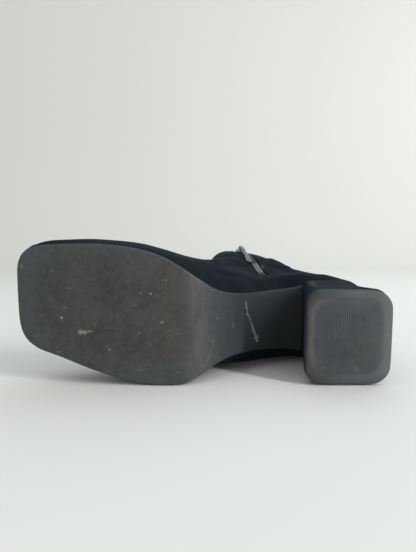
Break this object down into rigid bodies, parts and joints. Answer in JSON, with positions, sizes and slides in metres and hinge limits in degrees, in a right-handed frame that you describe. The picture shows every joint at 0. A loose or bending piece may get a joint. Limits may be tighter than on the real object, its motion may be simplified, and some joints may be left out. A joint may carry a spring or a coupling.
{
  "type": "block heel boot",
  "caption": "Right ankle boot with a squared toe, a hollow suede upper, an inner-side zip with a swinging pull tab, and a chunky block heel with a rubber lift.",
  "frame": {"origin": "middle of the boot's box, on the floor that it lies on", "axes": "-X toe, +X heel, -Y sole, +Y up the shaft, +Z inner side; the boot lies on its outer side"},
  "size_m": [0.2426, 0.155, 0.0931],
  "materials": {
    "black_suede": "napped black suede, worn and dusty",
    "worn_rubber": "matt charcoal rubber, scuffed and dusty",
    "insole_leather": "smooth dark sock lining",
    "zip_cloth": "woven black tape",
    "zip_metal": "silver zip metal, slightly dull"
  },
  "bodies": {
    "boot": {"upper": "black_suede", "outsole": "worn_rubber", "insole": "insole_leather", "heel_block": "black_suede", "top_lift": "worn_rubber", "zip_tape": "zip_cloth", "zip_slider": "zip_metal"},
    "pull": {"pull_tab": "zip_metal"}
  },
  "joints": [
    {"name": "pull_swing", "type": "hinge", "parent": "boot", "child": "pull", "pos_m": [0.03071, 0.06071, 0.08656], "axis": [-0.9729, -0.1934, 0.1265], "range_deg": [0, 170]}
  ]
}
